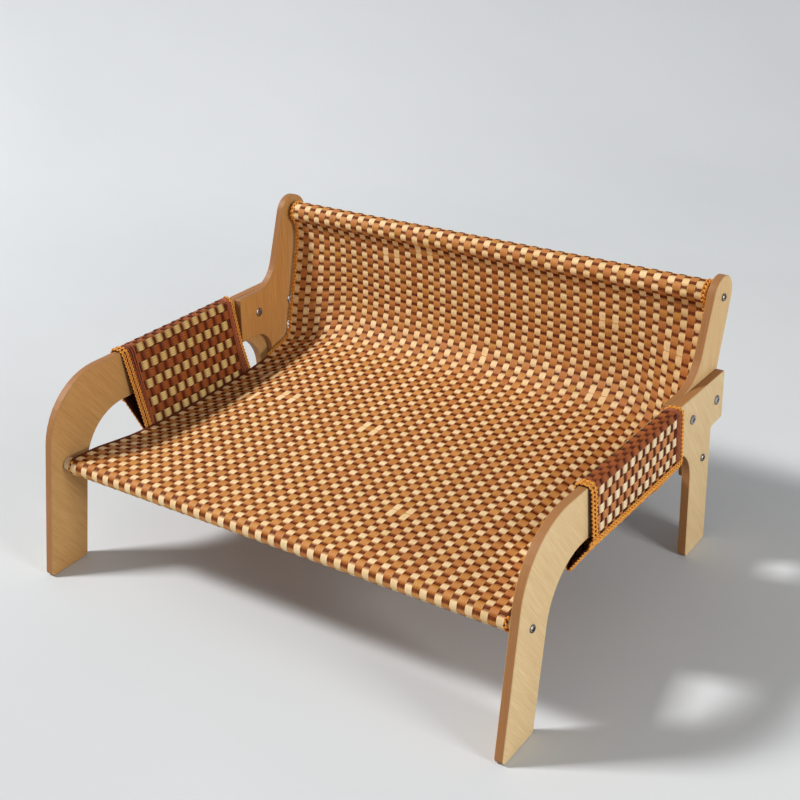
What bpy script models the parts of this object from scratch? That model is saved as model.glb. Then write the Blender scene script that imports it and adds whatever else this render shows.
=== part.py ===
# A cat sofa bed: two board sides, three round bars, and one woven mat slung over them.
# Metres, +Z up, the front faces -Y. A side view point is (y, z), with y = 0 at the front toe.
import bpy
import bmesh
from math import sin, cos, tan, atan2, acos, radians, pi, hypot

# Overall and general
WIDTH = 0.560            # over the outer faces of the two arm panels
BOARD = 0.009            # thickness of every board
GAP = 0.0003             # clearance between pieces that touch
EDGE_ROUND = 0.0006      # small round on the boards' edges

# Arm panel, seen from the side
FOOT_LENGTH = 0.052      # front foot, toe to heel
LEG_LEAN = radians(13.6)         # front leg, from the vertical
ARM_SLOPE = radians(3.17)        # the armrest drops towards the back
ARM_DEPTH = 0.0515               # armrest, top edge to arch
ARM_END_Y = 0.4325               # rear end of the armrest
ARM_END_Z = 0.183                # height of its top corner
STEP_Z = 0.131                   # underside of the step behind the rear leg
REAR_LEG_Y = 0.362               # front edge of the rear leg
REAR_LEG_LENGTH = 0.0445
SHOULDER_R = 0.079               # front leg into armrest, outside
ARCH_FRONT_R = 0.062
ARCH_REAR_R = 0.044
FOOT_R = 0.005
CORNER_R = 0.002

# Upright, the inner board that carries the back
HEAD_R = 0.0215
BACK_LEAN = radians(19.5)        # rear edge
FACE_LEAN = radians(22.0)        # front edge, above the curve
CURVE_R = 0.095                  # armrest into the front edge
UPRIGHT_FRONT_Y = 0.329          # where the board starts, at the armrest's top
UPRIGHT_FRONT_LEAN = radians(5.0)
UPRIGHT_FOOT_Z = 0.085           # it runs down inside the rear leg to here
UPRIGHT_SET_BACK = 0.012         # its arch's rear edge, behind the rear leg's front edge

# Bars: (y, z) of their axes
BAR_D = 0.014
FRONT_BAR = (0.0514, 0.1136)
CREASE_BAR = (0.3889, 0.1051)
TOP_BAR = (0.4380, 0.2570)

# Woven mat and its rod pockets
MAT_T = 0.0026
MAT_MARGIN = 0.010               # mat's side edge to the upright beside it
MIDDLE_CREASE_R = 0.037          # upper face of the mat at the crease, in the middle
MIDDLE_CREASE = (-0.0018, 0.0578)   # centre of that bend, from the crease bar
SIDE_CREASE_R = 0.012            # the same at the mat's two side edges
SIDE_CREASE_SHIFT = 0.0047       # from over the crease bar to where the seat bends up there
SEAT_SAG = (0.0012, 0.0125)      # in the middle and at the side edges
BACK_SAG = (0.0025, 0.003)
DROOP_FROM = 0.675               # share of the half width where the sides start to droop
DROOP_STEPS = 3
POCKET_REACH = 0.024             # bar axis to where the pocket's seam starts
SEAM_LENGTH = 0.014
SEAM_GAP = 0.0006                # between a pocket's flap and the mat
SEAM_R = 0.006                   # where a pocket's flap bends off the mat
POCKET_INSET = 0.004             # crease pocket's side edge, in from the mat's
CREASE_FLAP = 0.030              # bar axis to where the crease pocket's front seam starts
CREASE_RISE = (0.034, 0.0145)    # bar axis up to where its rear seam starts, middle and sides

# Armrest sleeves
SLEEVE_T = 0.0026
SLEEVE_FRONT_Y = 0.144
SLEEVE_STAND_OFF = 0.0030        # outer flap's middle, out from the panel, at the top
SLEEVE_FLARE = 0.0012            # further out at the hem
SLEEVE_DROP = 0.056              # armrest top to hem
SLEEVE_DEPTH = 0.095             # armrest top to the V at the bottom
SLEEVE_V_INSET = 0.0235          # the V, inwards from the panel's outer face
SLEEVE_R = 0.0030

# Fasteners
SCREW_HEAD_D = 0.008
SCREW_HEAD_H = 0.0018
SCREW_D = 0.004
SCREW_BITE = 0.022               # length inside a bar
BOLT_AT = ((0.3585, 0.1625), (0.4155, 0.1575))
BOLT_HEAD_D = 0.0098
BOLT_HEAD_H = 0.0016
BOLT_D = 0.005
NUT_D = 0.008
NUT_FLANGE_D = 0.0104
NUT_FLANGE_H = 0.0012
RECESS_DEPTH = 0.0010

INNER = WIDTH / 2 - BOARD        # arm panel's inner face
INSIDE = WIDTH / 2 - 2 * BOARD   # upright's inner face
BAR_R = BAR_D / 2
MAT_HALF = INSIDE - MAT_MARGIN   # half the mat's width
TOE_Y = FOOT_R / tan((pi / 2 - LEG_LEAN) / 2) - FOOT_R   # the round toe starts here
MID_Y = (TOE_Y + TOP_BAR[0] + HEAD_R) / 2                # stands at world y = 0


def clear_scene():
    for item in list(bpy.data.objects):
        bpy.data.objects.remove(item, do_unlink=True)


def make_material(name, colour, roughness, metallic=0.0):
    mat = bpy.data.materials.new(name)
    mat.use_nodes = True
    shader = mat.node_tree.nodes["Principled BSDF"]
    shader.inputs["Base Color"].default_value = (*colour, 1.0)
    shader.inputs["Roughness"].default_value = roughness
    shader.inputs["Metallic"].default_value = metallic
    mat.diffuse_color = (*colour, 1.0)
    return mat


def add_object(name, bm, mat):
    bmesh.ops.recalc_face_normals(bm, faces=bm.faces)
    mesh = bpy.data.meshes.new(name)
    bm.to_mesh(mesh)
    bm.free()
    mesh.materials.append(mat)
    obj = bpy.data.objects.new(name, mesh)
    bpy.context.scene.collection.objects.link(obj)
    mesh.shade_smooth()
    mesh.set_sharp_from_angle(angle=radians(35))
    return obj


# Side view geometry

def armrest_top(y):
    return ARM_END_Z + (ARM_END_Y - y) * tan(ARM_SLOPE)


def armrest_underside(y):
    return armrest_top(y) - ARM_DEPTH


def lean_meets_slope(foot_y, drop):
    # where a front leg edge from (foot_y, 0) meets the armrest's line, lowered by drop
    lean, slope = tan(LEG_LEAN), tan(ARM_SLOPE)
    z = (ARM_END_Z - drop + (ARM_END_Y - foot_y) * slope) / (1 + lean * slope)
    return foot_y + z * lean, z


def arc(centre, radius, start, end, steps):
    return [(centre[0] + radius * cos(start + (end - start) * i / steps),
             centre[1] + radius * sin(start + (end - start) * i / steps))
            for i in range(steps + 1)]


def arc_steps(radius, turn):
    return max(2, round(abs(turn) / radians(30 if radius < 0.0045 else 7.5)))


def rounded(corners, closed=True, steps=None):
    # corners are (a, b, radius); each one is replaced by its tangent arc
    points = []
    count = len(corners)
    for i, (a, b, radius) in enumerate(corners):
        ends = not closed and i in (0, count - 1)
        if radius <= 0 or ends:
            points.append((a, b))
            continue
        pa, pb = corners[i - 1][:2]
        na, nb = corners[(i + 1) % count][:2]
        la, lb = hypot(pa - a, pb - b), hypot(na - a, nb - b)
        ua, ub = (pa - a) / la, (pb - b) / la
        va, vb = (na - a) / lb, (nb - b) / lb
        half = acos(max(-1.0, min(1.0, ua * va + ub * vb))) / 2
        if half > radians(89.5):
            points.append((a, b))
            continue
        reach = min(radius / tan(half), 0.49 * la, 0.49 * lb)
        radius = reach * tan(half)
        wa, wb = ua + va, ub + vb
        size = hypot(wa, wb)
        centre = (a + wa / size * radius / sin(half), b + wb / size * radius / sin(half))
        start = atan2(b + ub * reach - centre[1], a + ua * reach - centre[0])
        end = atan2(b + vb * reach - centre[1], a + va * reach - centre[0])
        turn = (end - start + pi) % (2 * pi) - pi
        points += arc(centre, radius, start, start + turn, steps or arc_steps(radius, turn))
    return points


def board(name, outline, x0, x1, mat):
    bm = bmesh.new()
    near = [bm.verts.new((x0, y - MID_Y, z)) for y, z in outline]
    face = bm.faces.new(near)
    made = bmesh.ops.extrude_face_region(bm, geom=[face])
    moved = [v for v in made["geom"] if isinstance(v, bmesh.types.BMVert)]
    bmesh.ops.translate(bm, verts=moved, vec=(x1 - x0, 0, 0))
    obj = add_object(name, bm, mat)
    soften = obj.modifiers.new("edge round", "BEVEL")
    soften.width = EDGE_ROUND
    soften.segments = 1
    soften.limit_method = "ANGLE"
    soften.angle_limit = radians(50)
    return obj


def drill(obj, at, diameter, x0, x1):
    # a round hole along X through obj, from x0 to x1
    bm = bmesh.new()
    bmesh.ops.create_cone(bm, cap_ends=True, segments=20, radius1=diameter / 2,
                          radius2=diameter / 2, depth=abs(x1 - x0))
    mesh = bpy.data.meshes.new("drill")
    bm.to_mesh(mesh)
    bm.free()
    cutter = bpy.data.objects.new("drill", mesh)
    bpy.context.scene.collection.objects.link(cutter)
    cutter.rotation_euler = (0, pi / 2, 0)
    cutter.location = ((x0 + x1) / 2, at[0] - MID_Y, at[1])
    cutter.hide_render = True
    cutter.display_type = "WIRE"
    cut = obj.modifiers.new("hole", "BOOLEAN")
    cut.operation = "DIFFERENCE"
    cut.solver = "EXACT"
    cut.object = cutter


def arm_panel_outline():
    shoulder = lean_meets_slope(0.0, 0.0)
    arch = lean_meets_slope(FOOT_LENGTH, ARM_DEPTH)
    heel = REAR_LEG_Y + REAR_LEG_LENGTH
    return rounded([
        (0.0, 0.0, FOOT_R),
        (FOOT_LENGTH, 0.0, FOOT_R),
        (*arch, ARCH_FRONT_R),
        (REAR_LEG_Y, armrest_underside(REAR_LEG_Y), ARCH_REAR_R),
        (REAR_LEG_Y, 0.0, FOOT_R),
        (heel, 0.0, FOOT_R),
        (heel, STEP_Z, CORNER_R),
        (ARM_END_Y, STEP_Z, CORNER_R),
        (ARM_END_Y, ARM_END_Z, CORNER_R),
        (*shoulder, SHOULDER_R)])


def upright_outline():
    # the head is round the top bar; both long edges are tangent to it
    face = (TOP_BAR[0] - HEAD_R * cos(FACE_LEAN), TOP_BAR[1] + HEAD_R * sin(FACE_LEAN))
    back = (TOP_BAR[0] + HEAD_R * cos(BACK_LEAN), TOP_BAR[1] - HEAD_R * sin(BACK_LEAN))
    head = arc(TOP_BAR, HEAD_R, -BACK_LEAN, pi - FACE_LEAN, 26)
    slope, lean = tan(ARM_SLOPE), tan(FACE_LEAN)
    # the front edge's line meets the armrest's top line here
    z = (ARM_END_Z + (ARM_END_Y - face[0] + lean * face[1]) * slope) / (1 + lean * slope)
    curve = (face[0] - (face[1] - z) * lean, z)
    top = (UPRIGHT_FRONT_Y, armrest_top(UPRIGHT_FRONT_Y))
    foot_y = UPRIGHT_FRONT_Y - ARM_DEPTH * tan(UPRIGHT_FRONT_LEAN)
    arch_y = REAR_LEG_Y + UPRIGHT_SET_BACK
    heel = REAR_LEG_Y + REAR_LEG_LENGTH
    back_y = back[0] - (back[1] - STEP_Z) * tan(BACK_LEAN)
    return rounded([
        (foot_y, armrest_underside(foot_y), CORNER_R),
        (arch_y, armrest_underside(arch_y), ARCH_REAR_R),
        (arch_y, UPRIGHT_FOOT_Z, FOOT_R),
        (heel, UPRIGHT_FOOT_Z, FOOT_R),
        (heel, STEP_Z, CORNER_R),
        (back_y, STEP_Z, CORNER_R),
        *[(a, b, 0.0) for a, b in head],
        (*curve, CURVE_R),
        (*top, CORNER_R)])


def build_sides(wood, ply):
    arm, upright = arm_panel_outline(), upright_outline()
    hole = SCREW_D + 2 * GAP
    for side, tag in ((-1, "left"), (1, "right")):
        panel = board("arm_panel_" + tag, arm, side * INNER, side * WIDTH / 2, wood)
        inner = board("upright_" + tag, upright, side * INSIDE, side * (INNER - GAP), ply)
        far, near = side * (WIDTH / 2 + 0.004), side * (INSIDE - 0.004)
        drill(panel, FRONT_BAR, hole, near, far)
        drill(panel, CREASE_BAR, hole, near, far)
        drill(inner, CREASE_BAR, hole, near, far)
        drill(inner, TOP_BAR, hole, near, far)
        for at in BOLT_AT:
            drill(panel, at, BOLT_D + 2 * GAP, near, far)
            drill(inner, at, NUT_D + 2 * GAP, near, far)


def build_bar(name, at, end_x, mat):
    # a round bar with chamfered ends and a pilot hole for a screw in each
    bm = bmesh.new()
    bmesh.ops.create_cone(bm, cap_ends=True, segments=32, radius1=BAR_R, radius2=BAR_R,
                          depth=2 * end_x)
    bar = add_object(name, bm, mat)
    bar.rotation_euler = (0, pi / 2, 0)
    bar.location = (0, at[0] - MID_Y, at[1])
    soften = bar.modifiers.new("end chamfer", "BEVEL")
    soften.width = EDGE_ROUND
    soften.segments = 1
    soften.limit_method = "ANGLE"
    soften.angle_limit = radians(50)
    for side in (-1, 1):
        drill(bar, at, SCREW_D + 2 * GAP, side * (end_x - SCREW_BITE - 0.001),
              side * (end_x + 0.002))
    return bar


# Woven mat

def strip(path, closed=False):
    # unit normals to the left of a path, mitred at its points
    count = len(path)
    rims = []
    for i, (a, b) in enumerate(path):
        before = path[i - 1] if closed or i > 0 else None
        after = path[(i + 1) % count] if closed or i < count - 1 else None
        dirs = []
        if before:
            size = hypot(a - before[0], b - before[1])
            dirs.append(((a - before[0]) / size, (b - before[1]) / size))
        if after:
            size = hypot(after[0] - a, after[1] - b)
            dirs.append(((after[0] - a) / size, (after[1] - b) / size))
        ta, tb = sum(d[0] for d in dirs), sum(d[1] for d in dirs)
        size = hypot(ta, tb)
        ta, tb = ta / size, tb / size
        mitre = 1 / max(0.5, ta * dirs[0][0] + tb * dirs[0][1])
        rims.append((-tb * mitre, ta * mitre))
    return rims


def hermite(p, tp, q, tq, steps):
    # a smooth run from p to q with the given unit directions, ends left out
    size = hypot(q[0] - p[0], q[1] - p[1])
    points = []
    for i in range(1, steps):
        t = i / steps
        h1, h2 = 2 * t ** 3 - 3 * t ** 2 + 1, t ** 3 - 2 * t ** 2 + t
        h3, h4 = -2 * t ** 3 + 3 * t ** 2, t ** 3 - t ** 2
        points.append(tuple(h1 * p[k] + h2 * size * tp[k] + h3 * q[k] + h4 * size * tq[k]
                            for k in (0, 1)))
    return points


def tangent_angle(centre, radius, point, side):
    # angle on a circle where the line from an outside point touches it
    away = atan2(point[1] - centre[1], point[0] - centre[0])
    return away + side * acos(min(1.0, radius / hypot(point[0] - centre[0],
                                                      point[1] - centre[1])))


def mat_geometry(at_side):
    # the mat's middle line: front pocket, seat, crease, back, top pocket, in a side view
    # through its middle (at_side 0) or along a side edge (1)
    wrap = BAR_R + GAP + MAT_T / 2
    bend = (MIDDLE_CREASE_R, SIDE_CREASE_R)[at_side] + MAT_T / 2
    reach = bend + MAT_T / 2 + GAP + BAR_R
    seat_sag, back_sag = SEAT_SAG[at_side], BACK_SAG[at_side]
    alpha, beta, seat_turn = radians(1.5), radians(5.0), 0.0
    for _ in range(6):
        # at the sides the seat's end lies on the crease bar; in the middle it stays above
        rise = alpha - seat_turn
        if at_side:
            knee = (CREASE_BAR[0] + reach * sin(rise) + SIDE_CREASE_SHIFT * cos(rise),
                    CREASE_BAR[1] + reach * cos(rise) - SIDE_CREASE_SHIFT * sin(rise))
        else:
            knee = (CREASE_BAR[0] + MIDDLE_CREASE[0], CREASE_BAR[1] + MIDDLE_CREASE[1])
        seat_a = (FRONT_BAR[0] + wrap * sin(alpha), FRONT_BAR[1] + wrap * cos(alpha))
        seat_b = (knee[0] - bend * sin(alpha), knee[1] - bend * cos(alpha))
        back_a = (knee[0] + bend * cos(beta), knee[1] - bend * sin(beta))
        back_b = (TOP_BAR[0] - wrap * cos(beta), TOP_BAR[1] + wrap * sin(beta))
        alpha = atan2(seat_a[1] - seat_b[1], seat_b[0] - seat_a[0])
        beta = atan2(back_b[0] - back_a[0], back_b[1] - back_a[1])
        seat_turn = 4 * seat_sag / hypot(seat_b[0] - seat_a[0], seat_b[1] - seat_a[1])
    back_turn = 4 * back_sag / hypot(back_b[0] - back_a[0], back_b[1] - back_a[1])
    dip, rise = alpha + seat_turn, alpha - seat_turn
    out, lift = beta + back_turn, beta - back_turn

    def pocket(bar, along, across, start_angle, side):
        # flap end, flap corner and the touching angle of a teardrop rod pocket
        lie = wrap - MAT_T - SEAM_GAP
        corner = (bar[0] + along[0] * POCKET_REACH + across[0] * lie,
                  bar[1] + along[1] * POCKET_REACH + across[1] * lie)
        flap = (corner[0] + along[0] * SEAM_LENGTH, corner[1] + along[1] * SEAM_LENGTH)
        return flap, corner, tangent_angle(bar, wrap, corner, side)

    along = (cos(dip), -sin(dip))
    across = (sin(dip), cos(dip))
    flap, corner, touch = pocket(FRONT_BAR, along, across, dip, -1)
    wrap_front = arc(FRONT_BAR, wrap, touch + 2 * pi, pi / 2 - dip, 26)
    head = rounded([(*flap, 0), (*corner, SEAM_R), (*wrap_front[0], 0)], False, 3)[:-1]

    seat_a = wrap_front[-1]
    crease = arc(knee, bend, -pi / 2 - rise, -out, 12)
    seat = hermite(seat_a, (cos(dip), -sin(dip)), crease[0], (cos(rise), -sin(rise)), 14)

    along = (-sin(lift), -cos(lift))
    across = (-cos(lift), sin(lift))
    flap, corner, touch = pocket(TOP_BAR, along, across, lift, 1)
    wrap_top = arc(TOP_BAR, wrap, pi - lift, touch - 2 * pi, 26)
    back = hermite(crease[-1], (sin(out), cos(out)), wrap_top[0], (sin(lift), cos(lift)), 10)
    tail = rounded([(*wrap_top[-1], 0), (*corner, SEAM_R), (*flap, 0)], False, 3)[1:]
    path = head + wrap_front + seat + crease + back + wrap_top + tail
    return path, seat, crease, back


def along_run(run, axis, value):
    # the point of a run whose y (axis 0) or z (axis 1) has the given value
    for p, q in zip(run, run[1:]):
        if p[axis] <= value <= q[axis]:
            t = (value - p[axis]) / (q[axis] - p[axis])
            return p[0] + (q[0] - p[0]) * t, p[1] + (q[1] - p[1]) * t
    return run[0] if value < run[0][axis] else run[-1]


def shifted_out(run, distance):
    return [(p[0] - r[0] * distance, p[1] - r[1] * distance)
            for p, r in zip(run, strip(run))]


def crease_pocket_path(seat, crease, back, climb):
    # a flap under the seat, round the crease bar, and up behind the back
    wrap = BAR_R + GAP + MAT_T / 2
    under = shifted_out(seat + crease[:1], MAT_T + SEAM_GAP)
    behind = shifted_out(crease + back, MAT_T + SEAM_GAP)
    near, far = CREASE_FLAP, CREASE_FLAP + SEAM_LENGTH
    below = [along_run(under, 0, CREASE_BAR[0] - d) for d in (far, near)]
    above = [along_run(behind, 1, CREASE_BAR[1] + climb + SEAM_LENGTH * i / 4)
             for i in range(5)]
    touch_a = tangent_angle(CREASE_BAR, wrap, below[-1], 1)
    touch_b = tangent_angle(CREASE_BAR, wrap, above[0], -1)
    turn = (touch_b - touch_a) % (2 * pi)
    return below + arc(CREASE_BAR, wrap, touch_a, touch_a + turn, 16) + above


def slung_sheet(name, middle, sides, inset, thickness, mat):
    # a closed band of even thickness whose side view turns from one path, through its
    # middle, into another along the mat's two side edges; inset narrows it
    bm = bmesh.new()
    droop = [(DROOP_FROM * MAT_HALF, 0.0)]
    for i in range(1, DROOP_STEPS + 1):
        t = i / DROOP_STEPS
        droop.append(((DROOP_FROM + (1 - DROOP_FROM) * t) * MAT_HALF, t * t * (3 - 2 * t)))
    (x0, t0), (x1, t1) = droop[-2:]
    droop[-1] = (x1 - inset, t1 - (t1 - t0) * inset / (x1 - x0))
    stations = []
    for x, level in [(-x, t) for x, t in droop[::-1]] + droop:
        path = [(a[0] + (b[0] - a[0]) * level, a[1] + (b[1] - a[1]) * level)
                for a, b in zip(middle, sides)]
        stations.append([[bm.verts.new((x, y + ny * s - MID_Y, z + nz * s))
                          for s in (thickness / 2, -thickness / 2)]
                         for (y, z), (ny, nz) in zip(path, strip(path))])
    for a, b in zip(stations, stations[1:]):
        for i in range(len(a) - 1):
            for k in (0, 1):
                bm.faces.new((a[i][k], a[i + 1][k], b[i + 1][k], b[i][k]))
        for i in (0, -1):
            bm.faces.new((a[i][0], a[i][1], b[i][1], b[i][0]))
    for row in (stations[0], stations[-1]):
        for p, q in zip(row, row[1:]):
            bm.faces.new((p[0], p[1], q[1], q[0]))
    return add_object(name, bm, mat)


def build_mat(weave, lining):
    shapes = [mat_geometry(at_side) for at_side in (0, 1)]
    slung_sheet("woven_mat", shapes[0][0], shapes[1][0], 0.0, MAT_T, weave)
    pockets = [crease_pocket_path(*shape[1:], climb)
               for shape, climb in zip(shapes, CREASE_RISE)]
    slung_sheet("crease_pocket", *pockets, POCKET_INSET, MAT_T, lining)


# Sleeves over the armrests

def sleeve_section():
    # (x, z) of the middle line, z measured from the armrest's top
    lift = GAP + SLEEVE_T / 2
    outer = WIDTH / 2 + SLEEVE_STAND_OFF
    return rounded([
        (outer, lift, SLEEVE_R),
        (outer + SLEEVE_FLARE, -SLEEVE_DROP, SLEEVE_R),
        (WIDTH / 2 - SLEEVE_V_INSET, -SLEEVE_DEPTH, SLEEVE_R),
        (INNER - GAP - SLEEVE_T / 2 - 0.0012, lift, SLEEVE_R)])


def build_sleeve(side, tag, mat):
    section = sleeve_section()
    rims = strip(section, closed=True)
    foot_y = UPRIGHT_FRONT_Y - ARM_DEPTH * tan(UPRIGHT_FRONT_LEAN)
    rear = foot_y - 2 * GAP
    bm = bmesh.new()
    rings = []
    for y in (SLEEVE_FRONT_Y, rear):
        rings.append([[bm.verts.new((side * (x + nx * s), y - MID_Y,
                                     armrest_top(y) + z + nz * s))
                       for s in (SLEEVE_T / 2, -SLEEVE_T / 2)]
                      for (x, z), (nx, nz) in zip(section, rims)])
    front, back = rings
    count = len(section)
    for i in range(count):
        j = (i + 1) % count
        for k in (0, 1):
            bm.faces.new((front[i][k], front[j][k], back[j][k], back[i][k]))
        for ring in rings:
            bm.faces.new((ring[i][0], ring[j][0], ring[j][1], ring[i][1]))
    return add_object("sleeve_" + tag, bm, mat)


# Fasteners

def turned(bm, profile, steps):
    # a body turned about X from (x, radius) pairs whose ends lie on the axis
    rings = []
    for x, r in profile:
        if r == 0:
            rings.append([bm.verts.new((x, 0, 0))])
        else:
            rings.append([bm.verts.new((x, r * cos(2 * pi * i / steps),
                                        r * sin(2 * pi * i / steps))) for i in range(steps)])
    for a, b in zip(rings, rings[1:]):
        for i in range(steps):
            j = (i + 1) % steps
            corners = [a[i % len(a)], a[j % len(a)], b[j % len(b)], b[i % len(b)]]
            bm.faces.new(list(dict.fromkeys(corners)))


def cross_cutter(name, size, width, depth):
    # a plus sign, for a cross recess; it stands at the origin and faces +X
    half, wide = size / 2, width / 2
    outline = [(half, -wide), (half, wide), (wide, wide), (wide, half), (-wide, half),
               (-wide, wide), (-half, wide), (-half, -wide), (-wide, -wide),
               (-wide, -half), (wide, -half), (wide, -wide)]
    bm = bmesh.new()
    face = bm.faces.new([bm.verts.new((-depth, y, z)) for y, z in outline])
    made = bmesh.ops.extrude_face_region(bm, geom=[face])
    moved = [v for v in made["geom"] if isinstance(v, bmesh.types.BMVert)]
    bmesh.ops.translate(bm, verts=moved, vec=(2 * depth, 0, 0))
    bmesh.ops.recalc_face_normals(bm, faces=bm.faces)
    mesh = bpy.data.meshes.new(name)
    bm.to_mesh(mesh)
    bm.free()
    cutter = bpy.data.objects.new(name, mesh)
    bpy.context.scene.collection.objects.link(cutter)
    cutter.hide_render = True
    cutter.display_type = "WIRE"
    return cutter


def place(obj, side, x, at):
    # seats a fastener whose +X points out of the side that it is driven from
    obj.location = (side * x, at[0] - MID_Y, at[1])
    obj.rotation_euler = (0, 0, 0 if side > 0 else pi)
    return obj


def build_fastener(name, profile, recess, side, x, at, mat):
    bm = bmesh.new()
    turned(bm, profile, 20)
    obj = place(add_object(name, bm, mat), side, x, at)
    top = max(px for px, r in profile)
    cutter = cross_cutter("recess", recess, recess * 0.3, RECESS_DEPTH)
    cutter.location = (side * (x + top), at[0] - MID_Y, at[1])
    cut = obj.modifiers.new("recess", "BOOLEAN")
    cut.operation = "DIFFERENCE"
    cut.solver = "EXACT"
    cut.object = cutter
    return obj


def screw_profile(grip):
    # pan head on the face at x = 0, plain shank of the given grip plus its bite in the bar
    r, h, shank = SCREW_HEAD_D / 2, SCREW_HEAD_H, SCREW_D / 2
    end = -grip - SCREW_BITE
    return [(end, 0), (end + shank * 1.2, shank * 0.9), (end + shank * 2.0, shank),
            (GAP, shank), (GAP, r * 0.94), (GAP + h * 0.45, r), (GAP + h * 0.85, r * 0.82),
            (GAP + h, r * 0.6), (GAP + h, 0)]


def bolt_profile():
    r, h, shank = BOLT_HEAD_D / 2, BOLT_HEAD_H, BOLT_D / 2
    end = -2 * BOARD + 0.0022
    return [(end, 0), (end, shank * 0.85), (end + shank * 0.3, shank), (GAP, shank),
            (GAP, r), (GAP + h * 0.6, r), (GAP + h, r * 0.8), (GAP + h, 0)]


def build_nut(name, side, at, mat):
    # a flanged sleeve nut: a blind barrel in the upright, closed by its flange inside
    r, bore, flange = NUT_D / 2, BOLT_D / 2 + GAP, NUT_FLANGE_D / 2
    depth = BOARD - GAP - 0.0006
    floor = 0.0016
    bm = bmesh.new()
    turned(bm, [(NUT_FLANGE_H, 0), (NUT_FLANGE_H, flange * 0.85), (NUT_FLANGE_H * 0.5, flange),
                (GAP, flange), (GAP, r), (-depth, r), (-depth, bore), (-floor, bore),
                (-floor, 0)], 20)
    obj = add_object(name, bm, mat)
    obj.location = (side * INSIDE, at[0] - MID_Y, at[1])
    obj.rotation_euler = (0, 0, pi if side > 0 else 0)
    cutter = cross_cutter("recess", NUT_D * 0.6, NUT_D * 0.16, RECESS_DEPTH * 0.8)
    cutter.location = (side * (INSIDE - NUT_FLANGE_H), at[0] - MID_Y, at[1])
    cut = obj.modifiers.new("recess", "BOOLEAN")
    cut.operation = "DIFFERENCE"
    cut.solver = "EXACT"
    cut.object = cutter
    return obj


def build_fasteners(steel, zinc):
    cross = SCREW_HEAD_D * 0.6
    for side, tag in ((-1, "left"), (1, "right")):
        build_fastener("front_screw_" + tag, screw_profile(BOARD), cross, side,
                       WIDTH / 2, FRONT_BAR, steel)
        build_fastener("crease_screw_" + tag, screw_profile(2 * BOARD), cross, side,
                       WIDTH / 2, CREASE_BAR, steel)
        build_fastener("top_screw_" + tag, screw_profile(BOARD), cross, side,
                       INNER, TOP_BAR, steel)
        for i, at in enumerate(BOLT_AT):
            name = "%s_%d_" % ("bolt", i + 1) + tag
            build_fastener(name, bolt_profile(), BOLT_HEAD_D * 0.55, side, WIDTH / 2, at, zinc)
            build_nut("nut_%d_" % (i + 1) + tag, side, at, zinc)


def main():
    clear_scene()
    wood = make_material("board birch", (0.68, 0.50, 0.25), 0.55)
    ply = make_material("board birch inner", (0.64, 0.46, 0.22), 0.55)
    pale = make_material("bar wood", (0.74, 0.56, 0.32), 0.6)
    weave = make_material("woven straw", (0.52, 0.28, 0.11), 0.75)
    lining = make_material("pocket cloth", (0.20, 0.09, 0.04), 0.85)
    steel = make_material("screw steel", (0.50, 0.50, 0.50), 0.3, 1.0)
    zinc = make_material("bolt zinc", (0.45, 0.46, 0.48), 0.35, 1.0)
    build_sides(wood, ply)
    build_bar("front_bar", FRONT_BAR, INNER - GAP, pale)
    build_bar("crease_bar", CREASE_BAR, INSIDE - GAP, pale)
    build_bar("top_bar", TOP_BAR, INSIDE - GAP, pale)
    build_mat(weave, lining)
    build_sleeve(-1, "left", weave)
    build_sleeve(1, "right", weave)
    build_fasteners(steel, zinc)


main()
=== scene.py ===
from math import atan2, cos, pi, radians, sin, tan

import bmesh
import bpy
import numpy as np
from mathutils import Matrix, Vector


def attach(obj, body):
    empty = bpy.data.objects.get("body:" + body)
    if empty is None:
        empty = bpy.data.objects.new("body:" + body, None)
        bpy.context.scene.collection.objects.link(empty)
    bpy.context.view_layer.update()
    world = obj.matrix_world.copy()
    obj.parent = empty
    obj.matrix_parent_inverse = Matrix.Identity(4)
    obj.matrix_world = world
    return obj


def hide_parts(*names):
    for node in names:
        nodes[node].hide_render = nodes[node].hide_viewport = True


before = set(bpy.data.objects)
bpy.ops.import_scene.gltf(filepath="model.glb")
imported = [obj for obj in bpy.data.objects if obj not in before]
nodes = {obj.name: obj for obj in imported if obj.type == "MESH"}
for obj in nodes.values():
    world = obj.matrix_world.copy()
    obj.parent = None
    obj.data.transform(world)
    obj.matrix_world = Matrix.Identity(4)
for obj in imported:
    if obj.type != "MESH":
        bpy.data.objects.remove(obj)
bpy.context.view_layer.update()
rng = np.random.default_rng(41)

# Sizes repeated from the solids, in metres. A side view point is (y, z), with y = 0 at the toe.
body = dict(midY=0.2304269, armEndY=0.4325, armEndZ=0.183, armSlope=radians(3.17),
            frontBar=(0.0514, 0.1136), creaseBar=(0.3889, 0.1051), topBar=(0.4380, 0.2570),
            barRadius=0.007, clearance=0.0003)


def armTop(y):
    # height of the armrest's top edge
    return body["armEndZ"] + (body["armEndY"] - y) * tan(body["armSlope"])


# node helpers

def srgb(r, g, b):
    # a colour as it looks, 0 to 255, as the renderer wants it
    def lin(c):
        c /= 255
        return c / 12.92 if c <= 0.04045 else ((c + 0.055) / 1.055) ** 2.4
    return (lin(r), lin(g), lin(b), 1.0)


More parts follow.
